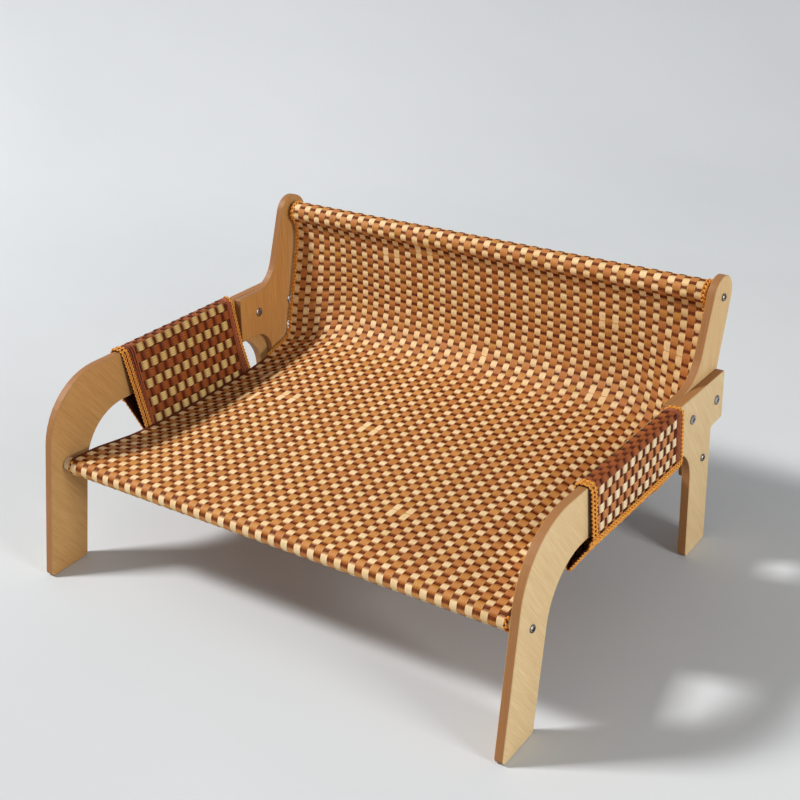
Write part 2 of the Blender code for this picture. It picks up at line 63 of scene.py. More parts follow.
class Tree:
    # places and joins shader nodes in one tree
    def __init__(self, tree):
        self.tree = tree

    def add(self, kind, **sets):
        node = self.tree.nodes.new(kind)
        for key, value in sets.items():
            setattr(node, key, value)
        return node

    def link(self, a, b):
        self.tree.links.new(a, b)

    def put(self, socket, value):
        if isinstance(value, bpy.types.NodeSocket):
            self.link(value, socket)
        elif value is not None:
            socket.default_value = value

    def math(self, op, a, b=None, clamp=False):
        node = self.add("ShaderNodeMath", operation=op, use_clamp=clamp)
        for i, value in enumerate((a, b)):
            self.put(node.inputs[i], value)
        return node.outputs[0]

    def plus(self, a, b, clamp=False):
        return self.math("ADD", a, b, clamp=clamp)

    def times(self, a, b):
        return self.math("MULTIPLY", a, b)

    def mix(self, factor, a, b, blend="MIX"):
        node = self.add("ShaderNodeMix", data_type="RGBA", blend_type=blend)
        self.put(node.inputs[0], factor)
        self.put(node.inputs[6], a)
        self.put(node.inputs[7], b)
        return node.outputs[2]

    def ramp(self, value, stops):
        node = self.add("ShaderNodeValToRGB")
        band = node.color_ramp
        while len(band.elements) < len(stops):
            band.elements.new(0.5)
        for element, (at, colour) in zip(band.elements, stops):
            element.position = at
            element.color = (colour, colour, colour, 1)
        self.put(node.inputs[0], value)
        return node.outputs[0]

    def noise(self, vector, scale, detail=3.0, rough=0.5, distort=0.0):
        node = self.add("ShaderNodeTexNoise")
        self.put(node.inputs["Vector"], vector)
        for key, value in (("Scale", scale), ("Detail", detail), ("Roughness", rough),
                           ("Distortion", distort)):
            self.put(node.inputs[key], value)
        return node.outputs[0]

    def mapped(self, vector, scale=(1, 1, 1), rotate=(0, 0, 0), move=(0, 0, 0)):
        node = self.add("ShaderNodeMapping")
        self.put(node.inputs["Vector"], vector)
        node.inputs["Scale"].default_value = scale
        node.inputs["Rotation"].default_value = rotate
        node.inputs["Location"].default_value = move
        return node.outputs[0]

    def split(self, value, kind="XYZ"):
        node = self.add("ShaderNodeSeparate" + kind)
        self.link(value, node.inputs[0])
        return node.outputs

    def bump(self, shader, height, strength, distance):
        node = self.add("ShaderNodeBump")
        node.inputs["Strength"].default_value = strength
        node.inputs["Distance"].default_value = distance
        self.link(height, node.inputs["Height"])
        self.link(node.outputs[0], shader.inputs["Normal"])


def newMaterial(name):
    material = bpy.data.materials.new(name)
    material.use_nodes = True
    tree = material.node_tree
    return material, Tree(tree), tree.nodes["Principled BSDF"]


def newGroup(name, inputs, outputs):
    group = bpy.data.node_groups.new(name, "ShaderNodeTree")
    for label, kind, value in inputs:
        socket = group.interface.new_socket(label, in_out="INPUT",
                                            socket_type="NodeSocket" + kind)
        if value is not None:
            socket.default_value = value
    for label, kind in outputs:
        group.interface.new_socket(label, in_out="OUTPUT", socket_type="NodeSocket" + kind)
    tree = Tree(group)
    return group, tree, tree.add("NodeGroupInput"), tree.add("NodeGroupOutput")


def placeGroup(tree, group, **values):
    node = tree.add("ShaderNodeGroup")
    node.node_tree = group
    for label, value in values.items():
        tree.put(node.inputs[label], value)
    return node


# shared effects

def makeBoardGrain():
    # fine streaks along one direction of a board, broad cloudy bands and short dark pores
    group, t, src, out = newGroup(
        "board grain",
        [("Vector", "Vector", None), ("Light", "Color", None), ("Dark", "Color", None),
         ("Streak", "Float", 0.5), ("Cloud", "Float", 0.5)],
        [("Color", "Color"), ("Height", "Float"), ("Roughness", "Float")])
    place = src.outputs["Vector"]
    fine = t.noise(t.mapped(place, scale=(900, 900, 28)), 1.0, 4.0, 0.6, 0.2)
    wide = t.noise(t.mapped(place, scale=(160, 160, 7)), 1.0, 3.0, 0.5, 0.6)
    cloud = t.noise(t.mapped(place, scale=(14, 14, 6)), 1.0, 2.0)
    pores = t.noise(t.mapped(place, scale=(1500, 1500, 90)), 1.0, 2.0)
    pores = t.ramp(pores, [(0.30, 0.0), (0.40, 1.0)])
    streaks = t.plus(t.times(fine, 0.72), t.times(wide, 0.28))
    streaks = t.ramp(streaks, [(0.34, 0.0), (0.66, 1.0)])
    amount = t.times(t.math("SUBTRACT", 1.0, streaks), src.outputs["Streak"])
    amount = t.plus(amount, t.times(t.math("SUBTRACT", 1.0, pores), 0.25))
    shade = t.times(t.math("SUBTRACT", cloud, 0.5), src.outputs["Cloud"])
    factor = t.plus(amount, shade, clamp=True)
    t.link(t.mix(factor, src.outputs["Light"], src.outputs["Dark"]), out.inputs["Color"])
    t.link(t.plus(t.times(streaks, 0.6), t.times(pores, 0.4)), out.inputs["Height"])
    t.link(t.plus(0.46, t.times(factor, 0.16)), out.inputs["Roughness"])
    return group


def makeStrandLines():
    # thin strands along a flat strip, from the strip's own UV: u across, v along in metres
    group, t, src, out = newGroup(
        "strand lines",
        [("Color", "Color", None), ("Line", "Color", None), ("Strands", "Float", 4.0),
         ("Depth", "Float", 0.5), ("Mottle", "Float", 0.3), ("Patch", "Color", None)],
        [("Color", "Color"), ("Height", "Float")])
    uv = t.add("ShaderNodeUVMap", uv_map="weave")
    place = t.add("ShaderNodeNewGeometry").outputs["Position"]
    across = t.times(t.split(uv.outputs[0])[0], src.outputs["Strands"])
    ridge = t.math("ABSOLUTE", t.math("SINE", t.times(across, pi)))
    valley = t.ramp(ridge, [(0.0, 0.0), (0.55, 1.0)])
    speck = t.noise(t.mapped(place, scale=(420, 420, 420)), 1.0, 3.0)
    patch = t.noise(t.mapped(place, scale=(75, 75, 75)), 1.0, 2.0)
    patch = t.ramp(patch, [(0.52, 0.0), (0.72, 1.0)])
    colour = t.mix(t.times(patch, src.outputs["Mottle"]), src.outputs["Color"],
                   src.outputs["Patch"])
    colour = t.mix(t.times(t.math("SUBTRACT", 1.0, valley), src.outputs["Depth"]), colour,
                   src.outputs["Line"])
    tone = t.plus(0.86, t.times(speck, 0.28))
    shade = t.add("ShaderNodeCombineColor")
    for i in range(3):
        t.link(tone, shade.inputs[i])
    t.link(t.mix(1.0, colour, shade.outputs[0], "MULTIPLY"), out.inputs["Color"])
    t.link(t.plus(t.times(ridge, 0.8), t.times(speck, 0.2)), out.inputs["Height"])
    return group


boardGrain = makeBoardGrain()
strandLines = makeStrandLines()
print("shared shader groups built")


# materials

def makeBoard(name, values):
    material, t, shader = newMaterial(name)
    inside = t.add("ShaderNodeTexCoord").outputs["Object"]
    turned = t.mapped(inside, rotate=values["turn"], move=values["move"])
    # painted light and shade: the face turned outwards gets paler colours than the one
    # turned to the seat, standing in for the lesser light that reaches the seat side
    geometry = t.add("ShaderNodeNewGeometry")
    place = t.split(geometry.outputs["Position"])
    outer = t.math("GREATER_THAN", t.math("ABSOLUTE", place[0]), values["middle"])
    grain = placeGroup(t, boardGrain, Vector=turned, Streak=values["streak"],
                       Light=t.mix(outer, values["light"], values["litOuterLight"]),
                       Dark=t.mix(outer, values["dark"], values["litOuterDark"]), Cloud=0.3)
    # the sawn edge is darker than the two faces
    normal = t.split(geometry.outputs["True Normal"])
    face = t.ramp(t.math("ABSOLUTE", normal[0]), [(0.45, 0.0), (0.8, 1.0)])
    plies = t.noise(t.mapped(inside, scale=(1400, 30, 30)), 1.0, 2.0)
    edge = t.mix(plies, values["edge"], values["edgeDark"])
    t.link(t.mix(face, edge, grain.outputs["Color"]), shader.inputs["Base Color"])
    t.link(grain.outputs["Roughness"], shader.inputs["Roughness"])
    t.bump(shader, grain.outputs["Height"], values["bump"], 0.0002)
    shader.inputs["Specular IOR Level"].default_value = 0.25
    return material


def makeStraw(name, values):
    material, t, shader = newMaterial(name)
    tint = t.add("ShaderNodeAttribute", attribute_name="tint")
    tone, lit = t.split(tint.outputs["Color"], "Color")[:2]
    base = t.mix(tone, values["dark"], values["light"])
    lines = placeGroup(t, strandLines, Color=base, Line=values["line"],
                       Strands=values["strands"], Depth=values["depth"],
                       Mottle=values["mottle"], Patch=values["mottleColour"])
    # painted shade: the tint's second channel mixes the low colour in where a strip dips under
    # another
    low = t.mix(lit, values["low"], (1, 1, 1, 1))
    t.link(t.mix(1.0, lines.outputs["Color"], low, "MULTIPLY"), shader.inputs["Base Color"])
    t.bump(shader, lines.outputs["Height"], values["bump"], 0.0004)
    shader.inputs["Roughness"].default_value = values["roughness"]
    shader.inputs["Specular IOR Level"].default_value = values["specular"]
    return material


def makeMetal(name, values):
    material, t, shader = newMaterial(name)
    inside = t.add("ShaderNodeTexCoord").outputs["Object"]
    scratches = t.noise(t.mapped(inside, scale=(900, 260, 900)), 1.0, 4.0)
    stain = t.ramp(t.noise(inside, 240.0, 3.0), [(0.45, 0.0), (0.7, 1.0)])
    t.link(t.mix(stain, values["colour"], values["stain"]), shader.inputs["Base Color"])
    t.link(t.plus(values["roughness"], t.times(scratches, 0.2)), shader.inputs["Roughness"])
    shader.inputs["Metallic"].default_value = 1.0
    return material


# the outer faces' paler colours and the inner faces' darker ones are painted light and shade
boardLook = makeBoard("lacquered board", dict(
    turn=(radians(-35), 0, 0), move=(0, 0.3, 0.1), middle=0.2755, light=srgb(206, 162, 104),
    dark=srgb(166, 120, 66), litOuterLight=srgb(226, 200, 154), litOuterDark=srgb(196, 162, 112),
    streak=0.6, edge=srgb(176, 124, 76), edgeDark=srgb(148, 100, 58), bump=0.25))
uprightLook = makeBoard("lacquered upright", dict(
    turn=(radians(4), 0, 0), move=(0, 0.7, 0.4), middle=0.2665, light=srgb(206, 156, 92),
    dark=srgb(166, 114, 58), litOuterLight=srgb(222, 190, 138), litOuterDark=srgb(190, 150, 98),
    streak=0.6, edge=srgb(172, 122, 76), edgeDark=srgb(142, 96, 56), bump=0.25))
barLook = makeBoard("plain bar wood", dict(
    turn=(0, radians(90), 0), move=(0, 0, 0), middle=0.5, light=srgb(248, 230, 192),
    dark=srgb(226, 200, 156), litOuterLight=srgb(232, 208, 168), litOuterDark=srgb(200, 168, 122),
    streak=0.4, edge=srgb(246, 230, 192), edgeDark=srgb(228, 206, 164), bump=0.2))
screwLook = makeMetal("screw steel", dict(
    colour=srgb(150, 150, 152), stain=srgb(105, 100, 96), roughness=0.28))
boltLook = makeMetal("zinc plated bolt", dict(
    colour=srgb(172, 174, 178), stain=srgb(128, 126, 122), roughness=0.3))
plainStraw = dict(strands=4.0, depth=0.5, mottle=0.3, bump=0.3, roughness=0.6, specular=0.25)
sleeveStraw = dict(bump=0.5, roughness=0.55, specular=0.3)


def straw(name, light, dark, line, mottled, low=(255, 255, 255), **changes):
    # colours as they look, low being the painted shade where a piece dips, then what differs
    # from a plain straw
    shades = dict(light=light, dark=dark, line=line, mottleColour=mottled, low=low)
    colours = {key: srgb(*shade) for key, shade in shades.items()}
    return makeStraw(name, {**plainStraw, **colours, **changes})


creamStraw = straw("cream straw", (252, 224, 180), (238, 202, 148), (206, 162, 108),
                   (222, 200, 132), (168, 122, 86), depth=0.35, mottle=0.45, bump=0.35)
tanStraw = straw("tan straw", (214, 152, 84), (188, 118, 62), (132, 72, 30),
                 (200, 150, 66), (230, 200, 172), depth=0.45, mottle=0.6, bump=0.35)
weftStraw = straw("dark red weft", (134, 68, 22), (98, 38, 10), (60, 20, 6),
                  (148, 66, 34), (150, 110, 100), strands=2.0, roughness=0.65, specular=0.2)
oliveThread = straw("olive thread", (176, 146, 72), (150, 112, 50), (110, 80, 30),
                    (160, 124, 58), strands=2.0, depth=0.3, mottle=0.2, bump=0.2,
                    roughness=0.65, specular=0.2)
sleeveCream = straw("sleeve cream straw", (236, 212, 146), (214, 184, 116), (146, 106, 58),
                    (206, 178, 104), (160, 112, 70), depth=0.7, **sleeveStraw)
sleeveBrown = straw("sleeve brown straw", (170, 94, 40), (136, 70, 28), (78, 34, 14),
                    (172, 98, 44), (205, 160, 140), depth=0.65, **sleeveStraw)
# paler copies of the sleeve straws for the outer flap's rows: painted light
outerFlapLitCream = straw("outer flap painted light cream straw", (250, 232, 196), (232, 208, 166), (178, 146, 106),
                   (222, 200, 150), (170, 124, 84), depth=0.6, **sleeveStraw)
outerFlapLitBrown = straw("outer flap painted light brown straw", (218, 150, 88), (188, 120, 64), (120, 66, 34),
                   (214, 140, 70), (205, 165, 145), depth=0.6, mottle=0.4, **sleeveStraw)
sleeveWeft = straw("sleeve weft", (110, 52, 20), (82, 34, 12), (44, 16, 8),
                   (120, 60, 28), (160, 120, 100), strands=2.0, mottle=0.2)
orangeCord = straw("orange braid", (246, 178, 74), (222, 140, 50), (140, 74, 26),
                   (220, 136, 46), strands=3.0, depth=0.45, roughness=0.5, specular=0.35)
brownCord = straw("brown braid", (132, 62, 26), (84, 34, 14), (50, 20, 10),
                  (150, 80, 40), strands=3.0, mottle=0.2)
redThread = straw("red thread", (178, 102, 64), (136, 70, 42), (70, 26, 16),
                  (170, 84, 48), strands=3.0)
bandCloth = straw("dark band", (86, 40, 24), (60, 24, 14), (36, 12, 8),
                  (100, 50, 28), strands=12.0, mottle=0.2, roughness=0.8, specular=0.15)
strapCloth = straw("dark brown strap", (98, 56, 36), (74, 40, 26), (48, 24, 16),
                   (112, 68, 44), strands=160.0, depth=0.4, mottle=0.2, roughness=0.85,
                   specular=0.15)
print("materials built")


# frame boards and metal

looks = dict(arm_panel=boardLook, upright=uprightLook, _bar=barLook, screw=screwLook,
             bolt=boltLook, nut=boltLook)
for name, obj in nodes.items():
    for word, look in looks.items():
        if word in name:
            obj.data.materials.clear()
            obj.data.materials.append(look)
print("boards, bars and fasteners dressed")


# weave geometry

class Soup:
    # gathers many swept strips, threads and bands into one mesh
    def __init__(self):
        self.points, self.faces, self.uvs, self.tints, self.slots = [], [], [], [], []
        self.count = 0

    def sweep(self, rings, across, along, tints, slot=0, closed=False):
        # rings is steps x corners x 3; neighbouring rings are joined and open ends capped.
        # The UV has across by corner and along by step.
        steps, corners = rings.shape[:2]
        uvs = np.stack(np.broadcast_arrays(across, np.reshape(along, (-1, 1))), axis=-1)
        self.points.append(rings.reshape(-1, 3))
        self.uvs.append(uvs.reshape(-1, 2))
        self.tints.append(np.broadcast_to(tints, (steps, corners, 4)).reshape(-1, 4))
        index = np.arange(steps * corners).reshape(steps, corners) + self.count
        row = index if closed else index[:-1]
        nextRow = np.roll(index, -1, axis=0) if closed else index[1:]
        quads = np.stack([row, np.roll(row, -1, axis=1), np.roll(nextRow, -1, axis=1), nextRow],
                         axis=-1).reshape(-1, 4)
        if not closed:
            caps = [end[[i, i + 1, corners - 2 - i, corners - 1 - i]]
                    for end in (index[0], index[-1]) for i in range(corners // 2 - 1)]
            quads = np.vstack([quads, caps])
        self.faces.append(quads)
        self.slots.append(np.full(len(quads), slot))
        self.count += steps * corners

    def build(self, name, materials):
        points, uvs, tints = (np.concatenate(part).astype(np.float32)
                              for part in (self.points, self.uvs, self.tints))
        faces, slots = (np.concatenate(part).astype(np.int32)
                        for part in (self.faces, self.slots))
        mesh = bpy.data.meshes.new(name)
        mesh.vertices.add(len(points))
        mesh.vertices.foreach_set("co", points.ravel())
        mesh.loops.add(faces.size)
        mesh.loops.foreach_set("vertex_index", faces.ravel())
        mesh.polygons.add(len(faces))
        mesh.polygons.foreach_set("loop_start", np.arange(0, faces.size, 4, dtype=np.int32))
        mesh.update(calc_edges=True)
        layer = mesh.uv_layers.new(name="weave")
        layer.uv.foreach_set("vector", uvs[faces.ravel()].ravel())
        tint = mesh.color_attributes.new("tint", "FLOAT_COLOR", "POINT")
        tint.data.foreach_set("color", tints.ravel())
        for material in materials:
            mesh.materials.append(material)
        mesh.validate()
        mesh.shade_smooth()
        obj = bpy.data.objects.new(name, mesh)
        bpy.context.scene.collection.objects.link(obj)
        if len(slots) == len(mesh.polygons):
            mesh.polygons.foreach_set("material_index", slots)
        bm = bmesh.new()
        bm.from_mesh(mesh)
        bmesh.ops.recalc_face_normals(bm, faces=bm.faces)
        bm.to_mesh(mesh)
        bm.free()
        mesh.set_sharp_from_angle(angle=radians(50))
        return obj


def tinted(tone, lit=1.0):
    # tints by step: tone runs from dark to light, and lit, which sets the painted shade, falls
    # where a piece dips
    tone, lit = np.broadcast_arrays(tone, lit)
    rest = np.ones(tone.shape)
    return np.clip(np.stack([tone, lit, rest, rest], axis=-1), 0, 1)[:, None]


def ribbonRings(centre, side, up, halfWidth, halfThick, crown):
    # flat strip sections; with a crown the upper face has two raised inner corners
    w, h = np.reshape(halfWidth, (-1, 1)), np.reshape(halfThick, (-1, 1))
    spots = [(-1, 1), (1, 1), (1, -1), (-1, -1)]
    if crown > 0:
        spots = [(-1, 0.4), (-0.62, 1 + crown), (0.62, 1 + crown), (1, 0.4), (1, -1), (-1, -1)]
    rings = np.stack([centre + side * w * a + up * h * b for a, b in spots], axis=1)
    return rings, np.array([(a + 1) / 2 for a, b in spots])


def unit(v):
    return v / np.maximum(np.linalg.norm(v, axis=-1, keepdims=True), 1e-12)


def overUnder(phase, power):
    # a strip's height between wefts: flat topped blocks that dip steeply, -1 to 1
    c = np.cos(pi * phase)
    return np.sign(c) * np.abs(c) ** power


def placeAt(position, places):
    # where a position in a row of places lies, carried on past both ends
    last = len(places) - 1
    at = np.interp(position, np.arange(last + 1), places)
    at = np.where(position < 0, places[0] + position * (places[1] - places[0]), at)
    past = places[-1] + (position - last) * (places[-1] - places[-2])
    return np.where(position > last, past, at)


def weaveStrips(soup, surface, plan, style, floats=()):
    # strips run along. The plan holds their places, widths and slots and the wefts' places;
    # bare says by the run how much painted shade a strip gets as it dips, and pale shifts its
    # tone by the run, which on the mat's back is painted shade
    wefts = plan["wefts"]
    per = style["perWeft"]
    phases = np.arange(-1, (len(wefts) - 1) * per + 2) / per
    s = placeAt(phases, wefts)
    for k, a in enumerate(plan["places"]):
        sign = 1 if (k + plan["shift"]) % 2 == 0 else -1
        height = sign * overUnder(phases, style["power"])
        for at, w in floats:
            if at == k:
                height = np.where(np.abs(phases - w) < 1.0, np.maximum(height, 0.7), height)
        lean = rng.normal(0, 1, 4)
        drift = style["drift"] * np.sin(s * 31 + lean[0] * 3) * lean[1]
        here, along, across, up = surface(a + drift, s)
        centre = here + up * (height * style["lift"])[:, None]
        width = plan["widths"][k] / 2 * (1 + style["unevenness"] * lean[2]) * (1 + 0.02 * height)
        rings, u = ribbonRings(centre, across, up, width, style["stripThick"] / 2,
                               style["crown"])
        block = np.floor((phases + (1 if sign > 0 else 2)) / 2).astype(int)
        shade = rng.uniform(0.15, 1.0, block.max() + 2)
        # tone: random by block plus pale's shift; lit: painted shade where the strip dips
        tone = (shade[block] * 0.6 + 0.4 * (0.5 + 0.3 * lean[3])
                + np.interp(s, *plan["pale"]))
        lit = np.clip(np.interp(s, *plan["bare"]) + height / 0.9, 0, 1)
        soup.sweep(rings, u, s, tinted(tone, lit * lit * (3 - 2 * lit)), plan["slots"][k])


def weaveWefts(soup, surface, plan, style, closed=False, floats=()):
    # wefts run across, under and over every strip; closed ones go right round a loop
    places = plan["places"]
    count = len(places)
    if closed:
        position = np.arange(0, count, 1 / style["perStrip"])
        a = np.interp(position, np.arange(count + 1), np.r_[places, places[0] + plan["girth"]])
    else:
        position = np.linspace(-0.5, count - 0.5, count * style["perStrip"] + 1)
        a = placeAt(position, places)
    for w, place in enumerate(plan["wefts"]):
        sign = -1 if (w + plan["shift"]) % 2 == 0 else 1
        slack = style["slack"] * (rng.normal() + 0.8 * np.sin(a * 40 + rng.uniform(0, 6)))
        here, along, across, up = surface(a, place + slack)
        height = sign * np.cos(pi * position)
        for k, at in floats:
            if at == w:
                height = np.where(np.abs(position - k) < 0.75, -0.9, height)
        centre = here + up * (height * style["dip"])[:, None]
        rings, u = ribbonRings(centre, along, up, style["weftWidth"] / 2,
                               style["weftThick"] / 2, style["weftCrown"])
        # the weft gets painted shade where it dips under a strip
        tint = tinted(rng.uniform(0.1, 1.0), 0.6 + 0.6 * height)
        soup.sweep(rings, u, a, tint, closed=closed)


def thread(soup, path, up, radius, slot=0, closed=False, sides=6, tone=0.5):
    # a round thread along a path; up only turns its section
    if closed:
        along = np.roll(path, -1, axis=0) - np.roll(path, 1, axis=0)
    else:
        along = np.gradient(path, axis=0)
    along = unit(along)
    first = unit(up - along * np.sum(up * along, axis=1, keepdims=True))
    second = np.cross(along, first)
    angle = np.arange(sides) / sides * 2 * pi
    rings = path[:, None] + radius * (first[:, None] * np.cos(angle)[:, None]
                                      + second[:, None] * np.sin(angle)[:, None])
    run = np.r_[0, np.cumsum(np.linalg.norm(np.diff(path, axis=0), axis=1))]
    tint = tinted(tone + 0.25 * np.sin(run * 700 + tone * 9))
    soup.sweep(rings, angle / (2 * pi), run, tint, slot, closed)


def braid(soup, path, side, up, shape, slots, closed=False):
    # flat plaited cord: each thread swings across in one wave and up and down in two
    seam = path[:1] if closed else path[:0]
    run = np.r_[0, np.cumsum(np.linalg.norm(np.diff(np.vstack([path, seam]), axis=0), axis=1))]
    length = run[-1]
    turns = max(2, round(length / shape["pitch"]))
    count = turns * shape["perTurn"]
    at = np.arange(count) / count * length if closed else np.linspace(0, length, count + 1)
    if closed:
        path, side, up = (np.vstack([v, v[:1]]) for v in (path, side, up))
    pick = lambda v: np.stack([np.interp(at, run, v[:, i]) for i in range(3)], axis=1)
    centre, side, up = pick(path), unit(pick(side)), unit(pick(up))
    for k, slot in enumerate(slots):
        t = 2 * pi * (turns * at / length + k / len(slots))
        line = centre + side * (shape["across"] * np.cos(t))[:, None] \
            + up * (shape["rise"] * np.sin(2 * t))[:, None]
        thread(soup, line, up, shape["radius"], slot, closed, tone=0.35 + 0.3 * (k % 2))


def band(soup, a, upA, b, upB, high, low, along, closed=False):
    # a flat cloth band between the lines a and b, in the third material
    rings = np.stack([a + upA * high, b + upB * high, b + upB * low, a + upA * low], axis=1)
    soup.sweep(rings, [0, 1, 1, 0], along, 0.5, 2, closed)


# the mat's shape

# bare sets the painted shade where strips dip, along seat, crease and back; pale darkens the
# straws on the back with painted shade
mat = dict(halfWidth=0.252, frontHalf=0.2585, backHalf=0.2532, creaseHalf=0.2552,
           narrowOver=0.075, thickness=0.0026, droopFrom=0.170, rollLift=0.0022,
           rollGrow=0.0028, strips=67, stripWidth=0.00792, creamShare=0.89, tanShare=1.11,
           firstWeft=0.0035, lastWeft=0.003, seatPitch=0.0074, backPitch=0.0057,
           rollPitch=0.0066, tailPitch=0.92, bare=(0.62, 0.85, 1.45), pale=(0.0, -0.30),
           rollFloat=0.70, floatPairs=14, floatReach=0.46, floatRise=0.00062,
           floatRadius=0.00028, hem=0.004, cordShadePast=0.010, cordStep=0.0015)
edgeCord = dict(pitch=0.0088, perTurn=9, across=0.0013, rise=0.0007, radius=0.00085, out=0.0010)
backCord = dict(pitch=0.0088, perTurn=9, across=0.0019, rise=0.0009, radius=0.0011, out=0.0018)
matStyle = dict(perWeft=3, perStrip=3, lift=0.00050, dip=0.00032, drift=0.00006,
                unevenness=0.006, stripThick=0.0005, crown=0.0, weftWidth=0.0023,
                weftThick=0.0011, weftCrown=0.0, slack=0.00022, power=0.55)


def arcPoints(centre, radius, start, end, steps):
    angle = np.linspace(start, end, steps)
    return np.stack([centre[0] + radius * np.cos(angle), centre[1] + radius * np.sin(angle)], 1)


def smoothPath(points):
    # a softly rounded path through side view points, by a centripetal spline
    p = np.asarray(points, float)
    p = np.vstack([2 * p[0] - p[1], p, 2 * p[-1] - p[-2]])
    knot = lambda t, a, b: t + max(1e-6, np.linalg.norm(b - a)) ** 0.5
    out = []
    for i in range(1, len(p) - 2):
        p0, p1, p2, p3 = p[i - 1:i + 3]
        t0, t1 = 0.0, knot(0.0, p0, p1)
        t2 = knot(t1, p1, p2)
        t3 = knot(t2, p2, p3)
        t = np.linspace(t1, t2, max(3, int(np.linalg.norm(p2 - p1) / 0.0008)))[:-1, None]
        blend = lambda a, b, ta, tb: (tb - t) / (tb - ta) * a + (t - ta) / (tb - ta) * b
        a1, a2, a3 = blend(p0, p1, t0, t1), blend(p1, p2, t1, t2), blend(p2, p3, t2, t3)
        out.append(blend(blend(a1, a2, t0, t2), blend(a2, a3, t1, t3), t1, t2))
    out.append(p[-2][None])
    return np.vstack(out)


# the mat's side view between its rolls: y and z in its middle, then y and z at its sides
matSide = dict(
    seat=[(0.080, 0.1218, 0.080, 0.1205), (0.104, 0.1212, 0.104, 0.1168),
          (0.145, 0.1205, 0.145, 0.1110), (0.202, 0.1200, 0.202, 0.1066),
          (0.258, 0.1200, 0.258, 0.1047), (0.312, 0.1204, 0.312, 0.1044),
          (0.350, 0.1214, 0.349, 0.1068)],
    crease=[(0.375, 0.1228, 0.374, 0.1114), (0.393, 0.1256, 0.390, 0.1141),
            (0.407, 0.1312, 0.3995, 0.1180), (0.418, 0.1400, 0.4040, 0.1272),
            (0.4255, 0.1530, 0.4082, 0.1420)],
    back=[(0.4300, 0.1700, 0.4142, 0.1620), (0.4325, 0.1900, 0.4212, 0.1860),
          (0.4335, 0.2100, 0.4272, 0.2080), (0.4340, 0.2280, 0.4318, 0.2260),
          (0.4336, 0.2380, 0.4332, 0.2380)])


def matSections(edge):
    # the mat's middle line in sections; edge is 0 in the middle of the mat and 1 at its sides
    wrap = body["barRadius"] + body["clearance"] + mat["thickness"] / 2
    fy, fz = body["frontBar"]
    ty, tz = body["topBar"]
    front = arcPoints((fy, fz), wrap, radians(285), radians(88), 40)
    flap = [(fy + 0.036, fz + 0.0045 - 0.0045 * edge), (fy + 0.022, fz + 0.0030 - 0.0016 * edge),
            (fy + 0.010, fz - 0.0055)]
    between = [np.array(matSide[part]) for part in ("seat", "crease", "back")]
    between = [rows[:, :2] + (rows[:, 2:] - rows[:, :2]) * edge for rows in between]
    top = arcPoints((ty, tz + mat["rollLift"]), wrap + mat["rollGrow"], radians(236),
                    radians(-50), 48)
    tail = [(ty + 0.0015, tz - 0.0180), (ty + 0.0020, tz - 0.0300)]
    return np.vstack([flap, front]), *between, np.vstack([top, tail])


def matPath(edge):
    # the whole side view path, the run along it, and the run at each section's end
    head, seat, crease, back, tail = matSections(edge)
    whole = smoothPath(np.vstack([head, seat, crease, back, tail]))
    step = np.r_[0, np.cumsum(np.linalg.norm(np.diff(whole, axis=0), axis=1))]
    marks = [0.0]
    for last in (head[-1], seat[-1], crease[-1], back[-1]):
        marks.append(step[np.argmin(np.linalg.norm(whole - last, axis=1))])
    marks.append(step[-1])
    return whole, step, np.array(marks)


edgeLevels = np.linspace(0, 1, 6)
matPaths = [matPath(level) for level in edgeLevels]
midMarks = matPaths[0][2]
print("mat length %.1f mm, section ends at %s" % (
    midMarks[-1] * 1e3, ", ".join("%.0f" % (m * 1e3) for m in midMarks)))


def droopAt(a):
    # 0 over the flat middle of the mat, rising smoothly to 1 at its sides
    edge = np.clip((np.abs(a) - mat["droopFrom"]) / (mat["halfWidth"] - mat["droopFrom"]), 0, 1)
    return edge * edge * (3 - 2 * edge)


def matPoint(a, s):
    # world point of the mat's middle surface; a runs across, s along its middle, in metres
    a, s = np.broadcast_arrays(np.asarray(a, float), np.asarray(s, float))
    level = droopAt(a) * (len(edgeLevels) - 1)
    low = np.clip(np.floor(level).astype(int), 0, len(edgeLevels) - 2)
    part = level - low
    ys, zs = [], []
    for whole, step, marks in matPaths:
        at = np.interp(s, midMarks, marks)
        ys.append(np.interp(at, step, whole[:, 0]))
        zs.append(np.interp(at, step, whole[:, 1]))
    ys, zs = np.array(ys), np.array(zs)
    pick = lambda v, k: np.take_along_axis(v, k[None], axis=0)[0]
    y = pick(ys, low) * (1 - part) + pick(ys, low + 1) * part
    z = pick(zs, low) * (1 - part) + pick(zs, low + 1) * part
    # widest at the front roll, and a little wider again at the crease
    narrow, wide = mat["backHalf"], mat["creaseHalf"]
    spread = np.interp(s, [midMarks[1], midMarks[1] + mat["narrowOver"], *midMarks[2:5]],
                       [mat["frontHalf"], narrow, narrow, wide, narrow])
    return np.stack([a * spread / mat["halfWidth"], y - body["midY"], z], axis=-1)


def matFrame(a, s):
    # point, directions along and across, and the normal on the sitting side
    e = 0.0012
    along = unit(matPoint(a, s + e) - matPoint(a, s - e))
    across = unit(matPoint(a + e, s) - matPoint(a - e, s))
    return matPoint(a, s), along, across, unit(np.cross(across, along))


def matWeftPlaces():
    # distances along the mat of every weft, closer together on the back
    places, s = [], mat["firstWeft"]
    while s < midMarks[-1] - mat["lastWeft"]:
        places.append(s)
        if s < midMarks[1]:
            s += mat["rollPitch"]
        elif s < midMarks[3]:
            blend = np.clip((s - midMarks[2]) / (midMarks[3] - midMarks[2]), 0, 1)
            s += mat["seatPitch"] + (mat["backPitch"] - mat["seatPitch"]) * blend
        elif s < midMarks[4]:
            s += mat["backPitch"]
        else:
            s += mat["rollPitch"] * mat["tailPitch"]
    return np.array(places)


